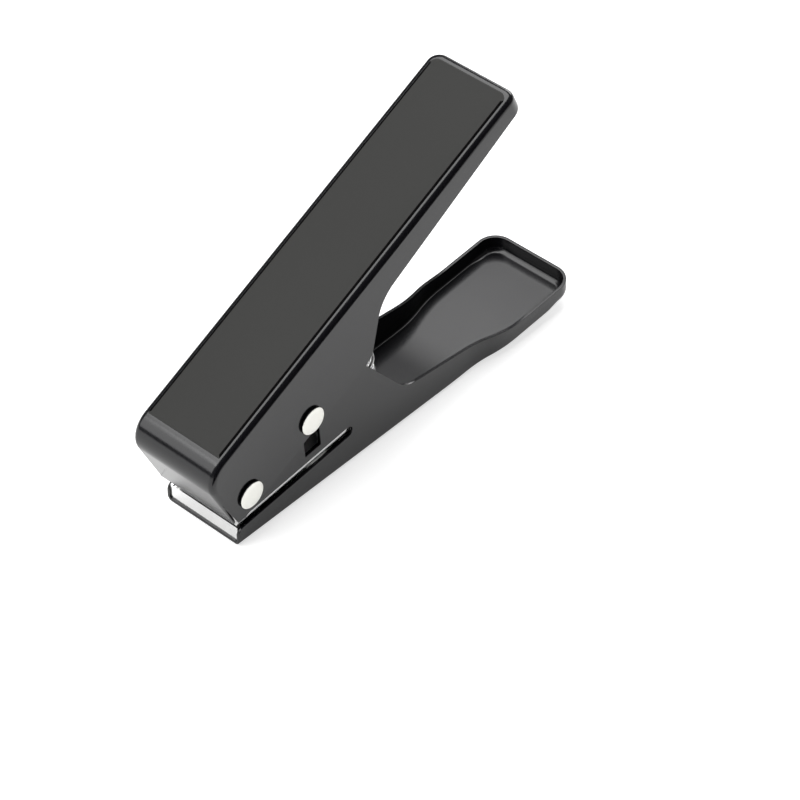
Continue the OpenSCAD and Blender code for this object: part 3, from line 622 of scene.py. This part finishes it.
rivet_plate = Finish("rivet_plating", Metallic=1.0)
worn = rivet_plate.noise(380.0, 4.0)
rivet_plate.feed({
    "Base Color": rivet_plate.mix(worn, (0.95, 0.945, 0.88, 1), (1.0, 1.0, 0.95, 1)),
    "Roughness": 0.24 + 0.2 * worn})
pivot_rivet = rivet("pivot_rivet", PIVOT[0] - BASE_MIDDLE, PIVOT[1])
pin_spot = lever_place(np.array([PIN[0], 0.0, PIN[1]]))
punch_rivet = rivet("punch_rivet", pin_spot[0], pin_spot[2])
rivet_plate.dress(pivot_rivet, punch_rivet)


def sideways(piece):
    """How far each face looks across the part: the size of its normal along Y."""
    facing = np.empty(len(piece.data.polygons) * 3)
    piece.data.polygons.foreach_get("normal", facing)
    return np.abs(facing[1::3])


# Painted shade: the faces of the rivet heads that look less than 0.6 across the part get black enamel in
# place of their shadow.
rim_shade = black_enamel("rivet_rim_painted_shade", 0.3)
for piece in (pivot_rivet, punch_rivet):
    piece.data.materials.append(rim_shade.material)
    piece.data.polygons.foreach_set("material_index", (sideways(piece) < 0.6).astype(np.int32))
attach(pivot_rivet, "base")
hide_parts("pivot_pin")
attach(punch_rivet, "lever")
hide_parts("punch_pin")

# Panel on top of the lever. A thin sheet of matt dark plastic glued on between the rolled edges, square
# at the nose and round at its rear corners; it is left bare, and its long cut sides are painted near
# black as shade.
PANEL_T, PANEL_DROP, PANEL_EDGE, PANEL_R = 0.3, 0.2, 0.8, 3.0
PANEL_FRONT_R, PANEL_REAR = 0.3, TAIL - 3.0
panel_plan = rounded([
    (NOSE, -edge_y, PANEL_FRONT_R), (PANEL_REAR, -edge_y, PANEL_R), (PANEL_REAR, edge_y, PANEL_R),
    (NOSE, edge_y, PANEL_FRONT_R)])
panel_middle = panel_plan.mean(0)
panel_shrink = 1 - PANEL_EDGE / np.abs(panel_plan - panel_middle).max(0)
loops = [(panel_plan, 0), (panel_plan, PANEL_T - PANEL_DROP),
         (panel_middle + (panel_plan - panel_middle) * panel_shrink, PANEL_T)]
panel_points = np.stack([np.c_[plan, np.full(len(plan), LEVER_TOP + rise)] for plan, rise in loops])
panel_points = lever_place(np.concatenate([panel_points, panel_points[:, :1]], 1))
panel_face = list(range(len(panel_plan)))
panel = joined("label_plate", [
    grid(panel_points), (panel_points[-1, :-1], [panel_face]),
    (panel_points[0, :-1], [panel_face[::-1]])])
smooth(panel, 30)
matt = Finish("matt_panel", Specular_IOR_Level=0.15)
grain = matt.noise(1400.0, 2.0)
haze = matt.noise(16.0, 2.0)
matt.feed({
    "Base Color": matt.mix(haze, (0.036, 0.036, 0.0345, 1), (0.042, 0.042, 0.0405, 1)),
    "Roughness": 0.55 + 0.1 * grain,
    "Normal": matt.bump(grain, 0.06, 0.0001)})
matt.dress(panel)
# Painted shade: the panel's faces that look more than 0.2 across the part get a near black finish
# without gloss, in place of their shadow.
edge_shade = Finish("panel_edge_painted_shade", Specular_IOR_Level=0.0)
shade_mottle = edge_shade.noise(500.0, 2.0)
edge_shade.feed({
    "Base Color": edge_shade.mix(shade_mottle, (0.002, 0.002, 0.002, 1), (0.006, 0.006, 0.006, 1)),
    "Roughness": 0.6 + 0.1 * shade_mottle})
panel.data.materials.append(edge_shade.material)
panel.data.polygons.foreach_set("material_index", (sideways(panel) > 0.2).astype(np.int32))
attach(panel, "lever")
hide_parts("label_panel")

# Studio. A wide floor of white paper under a weak white surround. The paper glows to the camera, so
# that it reads as white, and about half as much in reflections. Here sizes are in metres.
FLOOR_HALF, FLOOR_Z = 6.0, -0.0002
SEEN_GLOW, MIRRORED_GLOW = 0.7, 0.36


def standing(name, points, faces):
    """Piece of the studio from points and faces."""
    mesh = bpy.data.meshes.new(name)
    mesh.from_pydata(points, [], faces)
    piece = bpy.data.objects.new(name, mesh)
    bpy.context.scene.collection.objects.link(piece)
    return piece


floor = standing("floor", [
    (-FLOOR_HALF, -FLOOR_HALF, FLOOR_Z), (FLOOR_HALF, -FLOOR_HALF, FLOOR_Z),
    (FLOOR_HALF, FLOOR_HALF, FLOOR_Z), (-FLOOR_HALF, FLOOR_HALF, FLOOR_Z)], [(0, 1, 2, 3)])
paper = Finish("white_paper", Roughness=0.9, Specular_IOR_Level=0.1)
ray = paper.tree.nodes.new("ShaderNodeLightPath")
direct, mirrored_ray, through_ray = (
    Field(paper, ray.outputs[n]) for n in ("Is Camera Ray", "Is Glossy Ray", "Is Transmission Ray"))
glow = paper.node("ShaderNodeEmission", {}, {
    "Color": (1, 1, 1, 1),
    "Strength": SEEN_GLOW * (direct + through_ray) + MIRRORED_GLOW * mirrored_ray})
paper.feed({"Base Color": (0.7, 0.7, 0.7, 1)})
lit = paper.node("ShaderNodeAddShader", {}, {0: Field(paper, paper.shader.outputs[0]), 1: glow})
paper.tree.links.new(lit.socket, paper.tree.nodes["Material Output"].inputs["Surface"])
paper.dress(floor)

# Dark card on the near side of the part: a piece of a cylinder between two bearings. Only reflections
# see it, and it gives the gloss paint some of its dark edge lines.
CARD_BEARINGS, CARD_DISTANCE, CARD_LOW, CARD_HIGH = (200, 300), 0.15, 0.002, 0.4
bearing, height = np.meshgrid(np.radians(np.linspace(*CARD_BEARINGS, 41)), [CARD_LOW, CARD_HIGH])
card_points, card_faces = grid(
    np.stack([CARD_DISTANCE * np.cos(bearing), CARD_DISTANCE * np.sin(bearing), height], -1))
dark_side = standing("dark_side", card_points.tolist(), card_faces)
dark_side.visible_camera = dark_side.visible_shadow = dark_side.visible_diffuse = False
cloth = Finish("dark_cloth", Roughness=1.0, Specular_IOR_Level=0.0)
cloth.feed({"Base Color": (0.02, 0.02, 0.02, 1)})
cloth.dress(dark_side)

# Lamps. A weak white surround, a wide soft lamp above and towards the far side, a soft fill from the
# front and far side and a smaller one from behind the tail.
world = bpy.data.worlds.new("surround")
bpy.context.scene.world = world
world.use_nodes = True
surround = world.node_tree.nodes["Background"].inputs
surround["Color"].default_value = (1, 1, 1, 1)
surround["Strength"].default_value = 0.1


def softbox(name, place, facing, width, height, power):
    """Soft rectangular lamp that shines along a direction."""
    lamp = bpy.data.lights.new(name, "AREA")
    lamp.shape = "RECTANGLE"
    lamp.size, lamp.size_y = width, height
    lamp.energy = power
    piece = bpy.data.objects.new(name, lamp)
    piece.location = place
    piece.rotation_euler = Vector(facing).to_track_quat("-Z", "Y").to_euler()
    bpy.context.scene.collection.objects.link(piece)


softbox("overhead", (-0.3, 0.65, 2.0), (0, 0, -1), 3.6, 1.7, 72.0)
softbox("front_fill", (-1.350, 0.779, 0.900), (1.350, -0.779, -0.900), 1.1, 1.1, 8.7)
softbox("rear_fill", (1.452, 0.389, 0.547), (-1.452, -0.389, -0.547), 0.8, 0.6, 6.8)

# Camera. A long lens in front of the near side, looking down on the part.
camera = bpy.data.cameras.new("camera")
camera.lens = 149.505
camera.sensor_width = 36.0
camera.shift_x, camera.shift_y = 0.08135, -0.03181
camera_piece = bpy.data.objects.new("camera", camera)
camera_piece.location = (-0.64514, -0.57500, 0.79695)
look = Vector((-0.020945, 0, 0.023591)) - Vector(camera_piece.location)
camera_piece.rotation_euler = look.to_track_quat("-Z", "Y").to_euler()
bpy.context.scene.collection.objects.link(camera_piece)
bpy.context.scene.camera = camera_piece
bpy.context.scene.view_settings.view_transform = "Standard"
